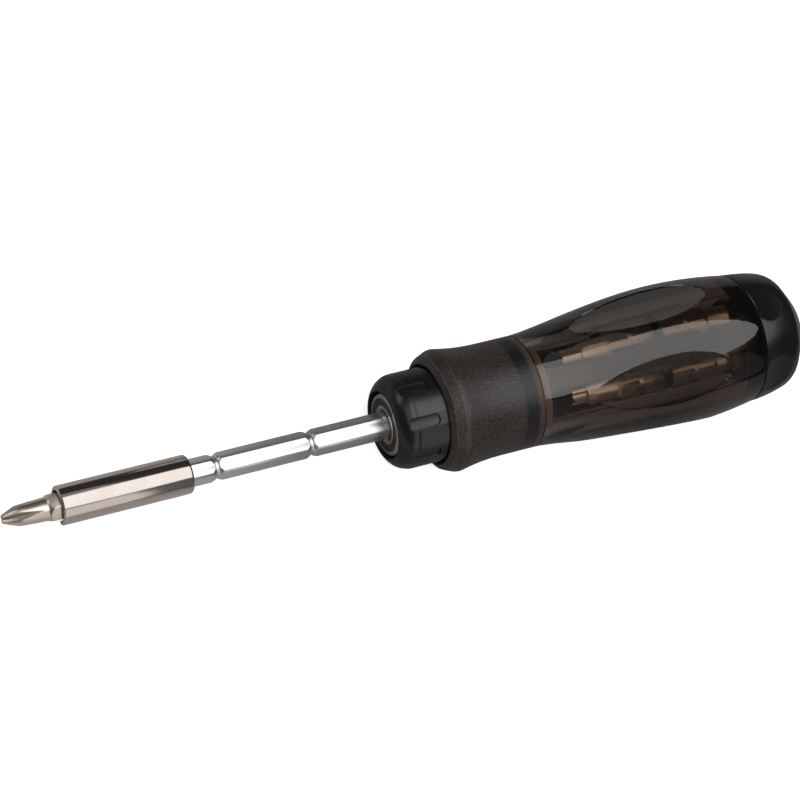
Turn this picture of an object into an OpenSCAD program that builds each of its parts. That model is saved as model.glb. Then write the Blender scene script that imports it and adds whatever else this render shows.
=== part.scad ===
// Ratcheting screwdriver with a telescoping hex shaft and bits stored in a clear handle.
// Millimetres. The origin is the tip of the fitted bit. The tool's axis lies along X: the cap is
// towards +X, +Z is up. One of the handle's flutes faces down, so the tool rests on two ridges.
// Lengths along the tool are measured from the nose, the front face of the ball bearing.

/* [Bits] */
// Across the flats of every bit and of the hex shaft
hex_af = 6.35; // [6.35:0.01:6.4]
// Length of an insert bit
bit_len = 25.4; // [25:0.1:26]
// Length of the hex end of a bit
bit_hex_len = 13.4; // [11:0.1:14]
// Radius of a bit's round neck
bit_neck_r = 2.95; // [2.6:0.05:3.1]
// Radius of the circle that the stored bits stand on
bit_circle_r = 7.85; // [7.8:0.05:7.95]
// How far the fitted bit stands out of its sleeve
bit_reach = 14.1; // [13:0.1:15]

/* [Shaft] */
// Length of the magnetic bit sleeve
sleeve_len = 33.7; // [32:0.1:36]
// Outer radius of the magnetic bit sleeve
sleeve_r = 4.95; // [4.9:0.05:5.4]
// Free length of the hex shaft between the sleeve and the nose
shaft_reach = 53.3; // [51.5:0.1:56]
// Corner radius of the hex shaft, measured from its axis
shaft_corner_r = 3.52; // [3.45:0.01:3.55]
// Distance from one stop groove to the next
groove_pitch = 25.4; // [25:0.1:25.6]
// Radius at the bottom of a stop groove
groove_r = 2.8; // [2.75:0.05:2.9]
// Flat width at the bottom of a stop groove
groove_w = 0.7; // [0.6:0.05:0.8]

/* [Nose bearing] */
// Outer radius of the ball bearing
bearing_r = 8; // [7.9:0.05:8.05]
// Bore radius of the ball bearing
bearing_bore_r = 4; // [3.95:0.01:4.02]
// Width of the ball bearing
bearing_w = 5; // [4.5:0.1:5.2]
// Radius of a bearing ball
ball_r = 1.15; // [1:0.05:1.2]
// Number of bearing balls
ball_count = 9; // [7:1:10]

/* [Selector] */
// Outer radius of the selector ring
selector_r = 12.3; // [12.1:0.1:12.4]
// Number of grip recesses round the selector ring
recess_count = 8; // [6:1:10]
// Length of a grip recess
recess_len = 8.4; // [7:0.1:8.8]
// Width of a grip recess
recess_w = 3.2; // [2.6:0.1:3.6]
// Depth of a grip recess
recess_depth = 0.65; // [0.4:0.05:0.9]

/* [Ratchet] */
// Teeth on the ratchet gear
gear_teeth = 24; // [24:12:24]
// Outer radius of the ratchet gear
gear_r = 7; // [6.9:0.05:7.05]
// Height of a ratchet tooth
tooth_h = 1.1; // [1:0.05:1.2]
// Width of the gear and pawls along the tool
gear_w = 5; // [4:0.1:5.2]
// How far the selector turns to each side, in degrees
selector_degrees = 20; // [16:1:20]
// Turn of a pawl for each degree of the selector
pawl_ratio = 0.3; // [0.26:0.01:0.3]

/* [Handle] */
// Nose to the front edge of the collar
collar_from = 12.3; // [12.1:0.1:12.4]
// Radius of the collar's crest
collar_r = 16; // [15.6:0.1:16.6]
// Radius of the handle's waist
waist_r = 14.7; // [14.6:0.05:15]
// Nose to the seam between collar and barrel
barrel_from = 38.3; // [38:0.1:39]
// Radius of the handle's belly
belly_r = 19.04; // [18.4:0.01:19.6]
// Nose to the belly's widest ring
belly_at = 81; // [76:0.5:84]
// Radius at the seam between barrel and cap
seam_r = 17.25; // [16.8:0.05:17.6]
// Nose to the tips of the front row of bits
front_tip_at = 48.6; // [48.4:0.1:50]
// Radius of the bore that the bit carrier slides in
barrel_bore_r = 11.35; // [11.3:0.01:11.5]
// Number of finger flutes, and of bits in a row
flute_count = 5; // [5:1:5]
// Depth of a flute at its middle
flute_depth = 1.23; // [1.2:0.01:1.4]
// Radius of a flute across the handle
flute_hollow_r = 300; // [200:20:400]
// Nose to the front tip of a flute
flute_from = 50.5; // [48:0.5:53]
// Nose to the rear tip of a flute
flute_to = 91.5; // [88:0.5:94]

/* [Cap] */
// Length of the cap behind its seam
cap_len = 16.6; // [15:0.1:18]
// Radius of the flat on the cap's end
cap_end_r = 8; // [7:0.1:8.5]
// Depth of a thumb dimple in the cap
dimple_depth = 1.2; // [0.9:0.05:1.3]

/* [Hidden] */

fine = 96;
small = 40;
degrees = 180 / PI;

// Clearances: running is a turning or sliding fit, seat is a pressed fit within one body
running = 0.06;
seat = 0.04;
loose = 0.2;
overrun = 1;

// Places along the tool, from the nose
nose_x = bit_reach + sleeve_len + shaft_reach;
sleeve_from = -shaft_reach - sleeve_len;
sleeve_to = -shaft_reach;
bit_tip_at = sleeve_from - bit_reach;
bit_back_at = bit_tip_at + bit_len;
bit_gap = 0.3;
hex_bore_af = hex_af + 2 * running;
hex_bore_corner_r = shaft_corner_r + running;
hex_corner_r = hex_af / 2 / cos(30);

// Stop grooves: the first is under the detent ring when the shaft is drawn out
detent_at = 29.75;
groove_count = 4;
groove_shoulder = 0.25;
groove_shoulder_rise = 0.35;
groove_flare = 0.9;
shaft_degrees = 40;
bit_degrees = 19;
shaft_in_sleeve = 15.3;
shaft_front_at = sleeve_to - shaft_in_sleeve;
shaft_back_at = 39;
shaft_edge = 0.4;

// Bearing
bearing_land = 1.05;
bearing_edge = 0.3;
ball_circle_r = (bearing_r + bearing_bore_r) / 2;
race_r = ball_r + running;
cage_half = 0.35;
cage_len = 3.4;
seal_t = 0.5;
seal_inset = 0.2;

// Selector ring
selector_front = -0.5;
selector_mouth_r = 8.85;
selector_round = 4.8;
selector_line_at = 4.2;
selector_line_depth = 0.12;
nose_tube_r = 8.62;
selector_bore_r = nose_tube_r + running;
lip_gap = 0.5;
lip_r = selector_r + lip_gap;
flange_reach = 0.7;
flange_r = lip_r + flange_reach;
flange_from = 14.2;
flange_to = 16;
recess_from = 1.9;
recess_corner = 0.9;
recess_round = 1.4;
recess_phase = 21;
lug_in_r = 9.3;
lug_out_r = 10.4;
lug_half_turn = 8;
lug_angles = [0, 140, 220];
selector_notch_r = 0.9;
selector_notch_degrees = selector_degrees;

// Housing
wall_from = 16.4;
wall_to = 18.2;
collar_wall = 2.11;
housing_r = waist_r - collar_wall - seat;
housing_wall = 1.25;
cavity_r = housing_r - housing_wall;
notch_inset = 0.8;
notch_circle_r = housing_r - notch_inset;
cover_from = 26.4;
collar_thin_wall = 1.06;
cover_flange_r = waist_r - collar_thin_wall - seat;
cover_flange_from = 33;
cover_boss_r = barrel_bore_r - seat;
cover_boss_to = 41.5;

// Spindle
spindle_front = 0.15;
spindle_mouth_r = 3.85;
spindle_mouth_in_r = 3.2;
spindle_mouth_len = 0.65;
journal_r = bearing_bore_r - seat / 2;
spindle_r = 4.6;
spindle_rear_r = 5.6;
spindle_step_at = 25.4;
spindle_back = 37;
detent_groove_r = 4.8;
detent_wire_r = 0.55;
stop_ring_r = 3.85;
stop_ring_w = 0.9;
stop_seat_r = 3.05;
stop_hole_r = 4;

// Gear and pawls
gear_from = 20.2;
gear_root_r = gear_r - tooth_h;
gap_share = 0.93;
cam_from = 18.4;
cam_to = 19.8;
cam_in_r = 5.7;
cam_out_r = cavity_r - loose;
pivot = [5.6, 7.3];
pivot_boss_r = 1.9;
pivot_pin_r = 1;
pawl_bite = 0.4;
pawl_tip_r = gear_r - pawl_bite;
tail = [1.2, 9];
tail_r = 0.8;
tail_gap = 0.1;
ratchet_lift = 0.9;
cam_steps = 12;
cam_spare_share = 1.08;

// Bush, washer, circlip
bush_r = 7;
bush_from = 27;
bush_len = 6;
washer_r = 7.2;
washer_from = 33.15;
washer_t = 0.6;
circlip_r = 6.6;
circlip_from = 34;
circlip_t = 0.8;
circlip_seat_r = 5.1;
recess_r = 7.4;

// Collar
lip_edge_r = lip_r + lip_gap;
lip_shoulder = [14.75, 1.1];
lip_crest = [15.85, 3.6];
crest_at = 16.8;
waist_from = 29;
lip_len = 1.6;
collar_steps = 10;

// Barrel
waist_pull = 7.7;
belly_pull = 16.7;
barrel_steps = 16;
tail_steps = 8;

// Carrier: two rows of bits end to end, then the cap
row_gap = 2.6;
row_middle = front_tip_at + bit_len + row_gap / 2;
tip_spare = 0.4;
cap_from = row_middle + row_gap / 2 + bit_len + tip_spare;
guard_len = 6.6;
carrier_from = front_tip_at - guard_len;
block_front = 12.8;
block_rear = 11.2;
block_from = row_middle - block_front;
block_to = row_middle + block_rear;
block_play = 0.55;
block_r = barrel_bore_r - block_play;
core_r = 9.4;
carrier_bore_r = 4;
bit_slot_gap = 0.12;
neck_gap = 0.4;
bit_phase = 9;

// Cap
plug_len = 3.9;
plug_from = cap_from - plug_len;
plug_in_r = 9.9;
plug_play = 0.15;
plug_r = barrel_bore_r - plug_play;
plug_land = 1.7;
ring_groove_at = plug_from + plug_land;
ring_groove_w = 1.1;
ring_groove_depth = 0.7;
ring_groove_r = plug_r - ring_groove_depth;
ring_section_r = 0.38;
cap_shoulder = [16.06, 8.6];
cap_turn = [15.4, 11.6];
cap_slope = [14, 12.3];
cap_rim = [8.9, 16.4];
cap_steps = 6;
cap_seam_gap = 0.25;
cap_edge = 0.4;
cap_side = [17.15, 4.1];
dimple_r = 9;
dimple_at = 6;
dimple_surface_r = 16.6;
dimple_phase = 25;
cap_socket_r = 4.4;
cap_socket_len = 4;

// Colours
steel = [0.76, 0.75, 0.73];
nickel = [0.72, 0.69, 0.63];
bronze_tint = [0.75, 0.62, 0.47];
dark_plastic = [0.13, 0.13, 0.14];
smoke = [0.36, 0.31, 0.29, 0.55];
frost = [0.32, 0.29, 0.28, 0.85];
rubber_black = [0.06, 0.06, 0.06];
brass_tint = [0.78, 0.6, 0.33];

// Local +Z runs from the nose towards the cap, and local +X points down
module along(at = 0) {
    translate([nose_x + at, 0, 0]) rotate([0, 90, 0]) children();
}

// A turned piece from points of [radius, place]
module turned(points) {
    rotate_extrude($fn = fine) polygon(points);
}

module ring(r_out, r_in, from, to) {
    turned([[r_in, from], [r_out, from], [r_out, to], [r_in, to]]);
}

module disc(r, from, to) {
    translate([0, 0, from]) cylinder(r = r, h = to - from, $fn = fine);
}

module hex(af, from, to) {
    translate([0, 0, from]) cylinder(r = af / 2 / cos(30), h = to - from, $fn = 6);
}

// Hex bar with its corners turned down to a radius
module rounded_hex(af, corner_r, from, to) {
    intersection() {
        hex(af, from, to);
        disc(corner_r, from, to);
    }
}

function arc(r, a, b, steps) = [for (i = [0:steps]) r * [cos(a + (b - a) * i / steps), sin(a + (b - a) * i / steps)]];

module sector(r_out, r_in, half_turn, from, to) {
    steps = 12;
    translate([0, 0, from]) linear_extrude(to - from)
        polygon(concat(arc(r_out, -half_turn, half_turn, steps), arc(r_in, half_turn, -half_turn, steps)));
}

// Bits: built with the back of the hex at zero and the tip at bit_len
bit_edge = 0.35;
bit_mark_r = 3.3;
bit_mark_w = 1.2;
bit_cone = 1.2;
tip_len = 5.5;
tip_taper = 4;

module bit_body(neck_to, tip_r, hex_len = bit_hex_len) {
    difference() {
        intersection() {
            hex(hex_af, 0, hex_len);
            turned([[0, 0], [hex_corner_r - bit_edge, 0], [hex_corner_r, bit_edge],
                [hex_corner_r, hex_len - bit_cone], [bit_neck_r, hex_len], [0, hex_len]]);
        }
        ring(hex_corner_r + overrun, bit_mark_r, (bit_hex_len - bit_mark_w) / 2, (bit_hex_len + bit_mark_w) / 2);
    }
    if (neck_to > hex_len) turned([[0, hex_len], [bit_neck_r, hex_len], [bit_neck_r, neck_to - tip_taper / 2],
        [tip_r, neck_to], [0, neck_to]]);
}

// Four-winged tip: long square-sided flutes that lean in towards a blunt point, lined up with a corner of the hex
cross_point_r = 1.25;
cross_cone_r = 2.65;
cross_cone_len = 3.6;
cross_floor_r = 0.5;
cross_scoop_len = 10.3;
module cross_bit(share = 1, hex_len = bit_hex_len) {
    cone = cross_cone_len * share;
    scoop = min(cross_scoop_len * share, bit_len - hex_len);
    lean = atan((bit_neck_r - cross_floor_r * share) / scoop);
    bit_body(hex_len, bit_neck_r, hex_len);
    difference() {
        turned([[0, hex_len], [bit_neck_r, hex_len], [cross_cone_r * share, bit_len - cone],
            [cross_point_r * share, bit_len - bit_edge / 2], [cross_point_r * share - bit_edge / 2, bit_len],
            [0, bit_len]]);
        for (i = [0:3]) rotate(90 * i) translate([bit_neck_r, 0, bit_len - scoop])
            rotate([0, -lean, 0]) rotate(-45) cube([bit_len, bit_len, bit_len]);
    }
}

// Six-lobed tip
star_hollow_share = 0.42;
star_len = 4;
module star_bit(r) {
    bit_body(bit_len - star_len, r + bit_edge);
    difference() {
        disc(r, bit_len - star_len, bit_len);
        for (i = [0:5]) rotate(60 * i)
            translate([r * (1 + star_hollow_share / 2), 0, bit_len - star_len])
                cylinder(r = r * star_hollow_share, h = tip_len, $fn = small);
    }
}

// Plain prism tip: six sides for a hex key, four for a square drive
module key_bit(r, sides) {
    bit_body(bit_len - tip_len, r + bit_edge);
    translate([0, 0, bit_len - tip_len]) cylinder(r = r, h = tip_len, $fn = sides);
}

// Flat blade, thinned towards its edge
blade_t = 0.9;
blade_root_t = 2.4;
blade_len = 9;
module slot_bit(width) {
    bit_body(bit_len - blade_len, bit_neck_r - bit_edge / 3);
    rotate(-30) intersection() {
        disc(width / 2, bit_len - blade_len, bit_len);
        rotate([90, 0, 0]) translate([0, 0, -width]) linear_extrude(2 * width)
            polygon([[-blade_root_t / 2, bit_len - blade_len], [blade_root_t / 2, bit_len - blade_len],
                [blade_root_t / 2, bit_len - 2 * blade_len / 3], [blade_t / 2, bit_len], [-blade_t / 2, bit_len],
                [-blade_root_t / 2, bit_len - 2 * blade_len / 3]]);
    }
}

driver_hex_len = 14.3;
module driver_bit() {
    color(nickel) along(bit_back_at) rotate([0, 180, 0]) rotate(-bit_degrees) cross_bit(1, driver_hex_len);
}

// Sleeve: hex socket for the bit in front, magnet pocket, hex socket for the shaft behind
socket_floor = bit_back_at + bit_gap / 2;
magnet_r = 2.9;
magnet_len = 3;
magnet_back = socket_floor + magnet_len + bit_gap;
mouth_r = 3.95;
mouth_len = 1.4;
sleeve_edge = 0.3;
sleeve_round = 0.7;
clip_at = bit_back_at - bit_hex_len / 2;
clip_section_r = 0.4;
clip_r = bit_mark_r + clip_section_r + running;
clip_gap_half = 28;

module bit_sleeve() {
    color(steel) along() difference() {
        turned([[0, sleeve_from], [sleeve_r - sleeve_edge, sleeve_from], [sleeve_r, sleeve_from + sleeve_edge],
            [sleeve_r, sleeve_to - sleeve_round], [sleeve_r - sleeve_round / 3, sleeve_to - sleeve_round / 3],
            [sleeve_r - sleeve_round, sleeve_to], [0, sleeve_to]]);
        disc(mouth_r, sleeve_from - overrun, sleeve_from + mouth_len);
        rotate(bit_degrees) hex(hex_bore_af, sleeve_from - overrun, socket_floor);
        disc(magnet_r + seat, socket_floor - overrun, magnet_back);
        ring(clip_r + clip_section_r + seat, bit_mark_r - loose, clip_at - clip_section_r - seat,
            clip_at + clip_section_r + seat);
        rotate(shaft_degrees) rounded_hex(hex_bore_af, hex_bore_corner_r, shaft_front_at - seat, sleeve_to + overrun);
    }
}

module bit_magnet() {
    color(steel) along() disc(magnet_r, socket_floor, magnet_back - seat);
}

// Split spring ring that drops into the marks on a bit's corners
module bit_clip() {
    color(steel) along(clip_at) difference() {
        rotate_extrude($fn = fine) translate([clip_r, 0]) circle(r = clip_section_r, $fn = small);
        sector(clip_r + overrun, 0, clip_gap_half, -overrun, overrun);
    }
}

groove_lip_r = groove_r + groove_shoulder_rise;
groove_half = groove_w / 2 + groove_shoulder;
groove_slope = groove_flare / (shaft_corner_r - groove_lip_r);
groove_open_half = groove_half + groove_slope * (shaft_corner_r + overrun - groove_lip_r);
module drive_shaft() {
    color(steel) along() difference() {
        rotate(shaft_degrees) intersection() {
            rounded_hex(hex_af, shaft_corner_r, shaft_front_at, shaft_back_at);
            turned([[0, shaft_front_at], [shaft_corner_r - shaft_edge, shaft_front_at],
                [shaft_corner_r, shaft_front_at + shaft_edge], [shaft_corner_r, shaft_back_at - shaft_edge],
                [shaft_corner_r - shaft_edge, shaft_back_at], [0, shaft_back_at]]);
        }
        for (i = [0:groove_count - 1]) translate([0, 0, detent_at - groove_pitch * i])
            turned([[groove_r, -groove_w / 2], [groove_lip_r, -groove_half],
                [shaft_corner_r + overrun, -groove_open_half], [shaft_corner_r + overrun, groove_open_half],
                [groove_lip_r, groove_half], [groove_r, groove_w / 2]]);
        ring(shaft_corner_r + overrun, stop_seat_r, shaft_back_at - 2 * stop_ring_w - seat,
            shaft_back_at - stop_ring_w + seat);
    }
}

module shaft_stop_ring() {
    color(steel) along() ring(stop_ring_r, stop_seat_r + seat, shaft_back_at - 2 * stop_ring_w,
        shaft_back_at - stop_ring_w);
}

// Deep-groove ball bearing with rubber shields
module bearing_race_cut() {
    translate([0, 0, bearing_w / 2]) rotate_extrude($fn = fine)
        translate([ball_circle_r, 0]) circle(r = race_r, $fn = small);
}

module bearing_outer_ring() {
    color(nickel) along() difference() {
        turned([[bearing_r - bearing_land, 0], [bearing_r - bearing_edge, 0], [bearing_r, bearing_edge],
            [bearing_r, bearing_w - bearing_edge], [bearing_r - bearing_edge, bearing_w],
            [bearing_r - bearing_land, bearing_w]]);
        bearing_race_cut();
    }
}

module bearing_inner_ring() {
    color(steel) along() difference() {
        turned([[bearing_bore_r, bearing_edge], [bearing_bore_r + bearing_edge, 0],
            [bearing_bore_r + bearing_land, 0], [bearing_bore_r + bearing_land, bearing_w],
            [bearing_bore_r + bearing_edge, bearing_w], [bearing_bore_r, bearing_w - bearing_edge]]);
        bearing_race_cut();
    }
}

module bearing_ball_ring(r) {
    for (i = [0:ball_count - 1]) rotate(360 / ball_count * i)
        translate([ball_circle_r, 0, bearing_w / 2]) sphere(r = r, $fn = small);
}

module bearing_balls() {
    color(steel) along() bearing_ball_ring(ball_r);
}

module bearing_cage() {
    color(brass_tint) along() difference() {
        ring(ball_circle_r + cage_half, ball_circle_r - cage_half, (bearing_w - cage_len) / 2,
            (bearing_w + cage_len) / 2);
        for (i = [0:ball_count - 1]) rotate(360 / ball_count * i)
            translate([0, -race_r, bearing_w / 2 - race_r]) cube([bearing_r, 2 * race_r, 2 * race_r]);
    }
}

module bearing_seal() {
    ring(bearing_r - bearing_land - running / 2, bearing_bore_r + bearing_land + running, seal_inset,
        seal_inset + seal_t);
}

module bearing_front_seal() {
    color(rubber_black) along() bearing_seal();
}

module bearing_rear_seal() {
    color(rubber_black) along(bearing_w) mirror([0, 0, 1]) bearing_seal();
}

// Selector ring: rounded front, rows of grip recesses, flange behind the collar's lip and three lugs
module recess_shape() {
    front = recess_from + recess_corner;
    rear = recess_from + recess_len - recess_round;
    for (c = [[front, recess_corner], [rear, recess_round]], s = [-1, 1])
        translate([selector_r - recess_depth, s * (recess_w / 2 - c[1]), c[0]]) rotate([0, 90, 0])
            cylinder(r = c[1], h = recess_w, $fn = small);
    translate([selector_r - recess_depth, -recess_w / 2, front]) cube([recess_w, recess_w, rear - front]);
    translate([selector_r - recess_depth, recess_corner - recess_w / 2, recess_from])
        cube([recess_w, recess_w - 2 * recess_corner, recess_corner]);
    translate([selector_r - recess_depth, recess_round - recess_w / 2, rear])
        cube([recess_w, recess_w - 2 * recess_round, recess_round]);
}

function selector_nose_points() = [for (i = [0:10]) let (a = 90 * i / 10)
    [selector_mouth_r + (selector_r - selector_mouth_r) * pow(sin(a), 1.5),
        selector_front + selector_round * (1 - cos(a))]];

module selector_lugs(gap, from, to) {
    for (a = lug_angles) rotate(a)
        sector(lug_out_r + gap, lug_in_r - gap, lug_half_turn + gap / lug_in_r * degrees, from, to);
}

module selector_ring() {
    color(dark_plastic) along() {
        difference() {
            turned(concat([[selector_bore_r, selector_mouth_r - selector_bore_r], [selector_mouth_r, 0]],
                selector_nose_points(), [[selector_r, flange_from], [flange_r, flange_from], [flange_r, flange_to],
                [selector_bore_r, flange_to]]));
            for (i = [0:recess_count - 1]) rotate(recess_phase + 360 / recess_count * i) recess_shape();
            ring(selector_r + overrun, selector_r - selector_line_depth, selector_line_at,
                selector_line_at + selector_line_depth);
            for (i = [-1:1]) rotate(180 + selector_notch_degrees * i)
                translate([notch_circle_r, 0, flange_to]) sphere(r = selector_notch_r + seat, $fn = small);
        }
        selector_lugs(0, flange_to, cam_to - seat);
    }
}

// The path of a pawl's tail pin, seen from the cam as the selector turns by f degrees
function turn(p, a) = [p[0] * cos(a) - p[1] * sin(a), p[0] * sin(a) + p[1] * cos(a)];
function tail_place(f, side) = turn([pivot[0], side * pivot[1]]
    + turn([tail[0] - pivot[0], side * (tail[1] - pivot[1])], pawl_ratio * f), -f);
function cam_angle(i) = selector_degrees * cam_spare_share * (2 * i / cam_steps - 1);
function cam_edge(side, shift) = [for (i = [0:cam_steps]) let (p = tail_place(cam_angle(i), side))
    p * (1 + shift / norm(p))];

module cam_window(side) {
    inner = cam_edge(side, -tail_r - tail_gap);
    outer = cam_edge(side, tail_r + tail_gap + ratchet_lift);
    translate([0, 0, cam_from - overrun]) linear_extrude(cam_to - cam_from + 2 * overrun)
        polygon(concat(inner, [for (i = [0:cam_steps]) outer[cam_steps - i]]));
    for (f = [-selector_degrees, selector_degrees]) translate(tail_place(f, side))
        translate([0, 0, cam_from - overrun])
            cylinder(r = tail_r + tail_gap, h = cam_to - cam_from + 2 * overrun, $fn = small);
}

module selector_cam() {
    color(steel) along() difference() {
        ring(cam_out_r, cam_in_r, cam_from, cam_to);
        selector_lugs(running, cam_from - overrun, cam_to + overrun);
        for (side = [-1, 1]) cam_window(side);
    }
}

// Leaf spring with a pressed bump that drops into the selector's three notches
detent_leaf_t = 0.3;
detent_leaf_half_w = 0.6;
detent_leaf_half_turn = 25;
detent_pocket = 0.7;
module selector_detent_spring() {
    color(steel) along() {
        rotate(180) sector(notch_circle_r + detent_leaf_half_w, notch_circle_r - detent_leaf_half_w,
            detent_leaf_half_turn, wall_from + loose, wall_from + loose + detent_leaf_t);
        intersection() {
            rotate(180) translate([notch_circle_r, 0, flange_to]) sphere(r = selector_notch_r, $fn = small);
            ring(notch_circle_r + detent_leaf_half_w, notch_circle_r - detent_leaf_half_w, flange_to - overrun,
                wall_from + loose);
        }
    }
}

// Housing: nose tube with the bearing seat, front wall with windows for the selector's lugs, pawl cavity
nose_tube_front = 1.2;
window_gap = 0.25;
module ratchet_housing() {
    color(dark_plastic) along() difference() {
        union() {
            ring(nose_tube_r, bearing_r + seat / 2, nose_tube_front, bearing_w + seat);
            ring(nose_tube_r, spindle_r + loose, bearing_w + seat, wall_to);
            ring(housing_r, spindle_r + loose, wall_from, wall_to);
            ring(housing_r, cavity_r, wall_to, cover_from);
        }
        for (a = lug_angles) rotate(a)
            sector(lug_out_r + window_gap, lug_in_r - window_gap,
                lug_half_turn + selector_degrees + 2 * window_gap / lug_in_r * degrees, wall_from - overrun,
                wall_to + overrun);
        rotate(180) sector(notch_circle_r + detent_leaf_half_w + running, notch_circle_r - detent_leaf_half_w
            - running, detent_leaf_half_turn + 2 * running / notch_circle_r * degrees, wall_from - overrun,
            wall_from + detent_pocket);
    }
}

// Cover: closes the pawl cavity, carries the rear bush and registers in the barrel
module housing_cover() {
    color(dark_plastic) along() difference() {
        turned([[0, cover_from], [housing_r, cover_from], [housing_r, cover_flange_from],
            [cover_flange_r, cover_flange_from], [cover_flange_r, barrel_from - seat],
            [cover_boss_r, barrel_from - seat], [cover_boss_r, cover_boss_to], [0, cover_boss_to]]);
        disc(spindle_rear_r + loose, cover_from - overrun, spindle_back + loose);
        disc(bush_r + seat, bush_from, bush_from + bush_len + seat);
        disc(recess_r, bush_from + bush_len, circlip_from + circlip_t + loose);
        disc(stop_hole_r, spindle_back, cover_boss_to + overrun);
        for (side = [-1, 1]) translate([pivot[0], side * pivot[1], cover_from - overrun])
            cylinder(r = pivot_pin_r + seat / 2, h = pawl_pin_to - cover_from + overrun + seat, $fn = small);
    }
}

// Spindle: hex tube from the bearing's bore to the rear bush
module spindle() {
    color(steel) along() difference() {
        turned([[0, spindle_front], [journal_r, spindle_front], [journal_r, bearing_w + seat],
            [spindle_r, bearing_w + seat], [spindle_r, spindle_step_at], [spindle_rear_r, spindle_step_at],
            [spindle_rear_r, circlip_from - seat / 2], [circlip_seat_r, circlip_from - seat / 2],
            [circlip_seat_r, circlip_from + circlip_t + seat / 2],
            [spindle_rear_r, circlip_from + circlip_t + seat / 2], [spindle_rear_r, spindle_back],
            [0, spindle_back]]);
        rotate(shaft_degrees) rounded_hex(hex_bore_af, hex_bore_corner_r, spindle_front - overrun, spindle_back + overrun);
        turned([[0, spindle_front - overrun], [spindle_mouth_r, spindle_front - overrun], [spindle_mouth_r, spindle_front],
            [spindle_mouth_in_r, spindle_front + spindle_mouth_len], [0, spindle_front + spindle_mouth_len]]);
        ring(detent_groove_r, groove_r - loose, detent_at - detent_wire_r - running,
            detent_at + detent_wire_r + running);
    }
}

// A tooth gap of the gear is centred on each of the pawls' tips
function gear_points() = [for (i = [0:gear_teeth - 1]) let (a = 90 + 360 / gear_teeth * i,
    h = 180 / gear_teeth * gap_share)
    each [gear_root_r * [cos(a), sin(a)], gear_r * [cos(a + h), sin(a + h)],
        gear_r * [cos(a + 360 / gear_teeth - h), sin(a + 360 / gear_teeth - h)]]];

module ratchet_gear() {
    color(steel) along(gear_from) difference() {
        linear_extrude(gear_w) polygon(gear_points());
        disc(spindle_r + seat / 2, -overrun, gear_w + overrun);
    }
}

// Pawl: pivot eye, arm, single tooth and a tail pin that reaches into the cam
pawl_gap = 0.15;
tooth_half = 0.66;
tooth_base = 1.05;
arm_low = [4.3, 6.35];
arm_heel = [0.85, 0.15];
nose_half = 1;
nose_out = 2.2;
arm_top = [[-0.2, 3.45], [1.8, 3.5]];
pawl_from = gear_from;
pawl_pin_to = 29;
function pawl_points() = let (b = pawl_tip_r + tooth_base) [arm_low, [arm_heel[0], b + arm_heel[1] / 2],
    [tooth_half, b], [0, pawl_tip_r], [-tooth_half, b], [-nose_half, b + arm_heel[1]], [-nose_half, b + nose_out],
    [arm_top[0][0], pawl_tip_r + arm_top[0][1]], [arm_top[1][0], pawl_tip_r + arm_top[1][1]],
    [pivot[0] + pivot_boss_r / 6, pivot[1] + pivot_boss_r - seat], pivot];

module pawl() {
    difference() {
        union() {
            translate([0, 0, pawl_from]) linear_extrude(gear_w) polygon(pawl_points());
            translate([pivot[0], pivot[1], pawl_from]) cylinder(r = pivot_boss_r, h = gear_w, $fn = fine);
            translate([tail[0], tail[1], cam_from + seat])
                cylinder(r = tail_r, h = pawl_from - cam_from + overrun, $fn = small);
        }
        translate([pivot[0], pivot[1], pawl_from - overrun])
            cylinder(r = pivot_pin_r + running, h = gear_w + 2 * overrun, $fn = small);
    }
}

module pawl_a() {
    color(nickel) along() pawl();
}

module pawl_b() {
    color(nickel) along() mirror([0, 1, 0]) pawl();
}

module pawl_pins() {
    color(steel) along() for (side = [-1, 1]) translate([pivot[0], side * pivot[1], pawl_from])
        cylinder(r = pivot_pin_r, h = pawl_pin_to - pawl_from, $fn = small);
}

// Leaf springs that press the pawls in: a strip along the cavity wall with its end bent down on the arm
leaf_t = 0.28;
leaf_w = 3;
leaf_from_turn = 140;
leaf_to_turn = 99;
leaf_foot = [0.9, 0.1];
function leaf_points() = let (r = cavity_r - seat, foot = [leaf_foot[0], pawl_tip_r + arm_top[1][1] + leaf_foot[1]])
    concat(arc(r, leaf_from_turn, leaf_to_turn, 8), [foot + [0, leaf_t]], [foot],
        arc(r - leaf_t, leaf_to_turn + leaf_t / r * degrees, leaf_from_turn, 8));
module pawl_spring() {
    translate([0, 0, pawl_from + (gear_w - leaf_w) / 2]) linear_extrude(leaf_w) polygon(leaf_points());
}

module pawl_spring_a() {
    color(steel) along() pawl_spring();
}

module pawl_spring_b() {
    color(steel) along() mirror([0, 1, 0]) pawl_spring();
}

module spindle_bush() {
    color(brass_tint) along() ring(bush_r, spindle_rear_r + running, bush_from, bush_from + bush_len);
}

module thrust_washer() {
    color(steel) along() ring(washer_r, spindle_rear_r + running, washer_from, washer_from + washer_t);
}

circlip_gap_half = 22;
module spindle_circlip() {
    color(steel) along() difference() {
        ring(circlip_r, circlip_seat_r + seat / 2, circlip_from, circlip_from + circlip_t);
        sector(circlip_r + overrun, 0, circlip_gap_half, circlip_from - overrun, circlip_from + circlip_t + overrun);
    }
}

// Split wire ring in the spindle that clicks into the shaft's stop grooves
module shaft_detent_ring() {
    color(steel) along(detent_at) difference() {
        rotate_extrude($fn = fine) translate([groove_r + detent_wire_r + running, 0])
            circle(r = detent_wire_r, $fn = small);
        sector(detent_groove_r, 0, clip_gap_half, -overrun, overrun);
    }
}

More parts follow.
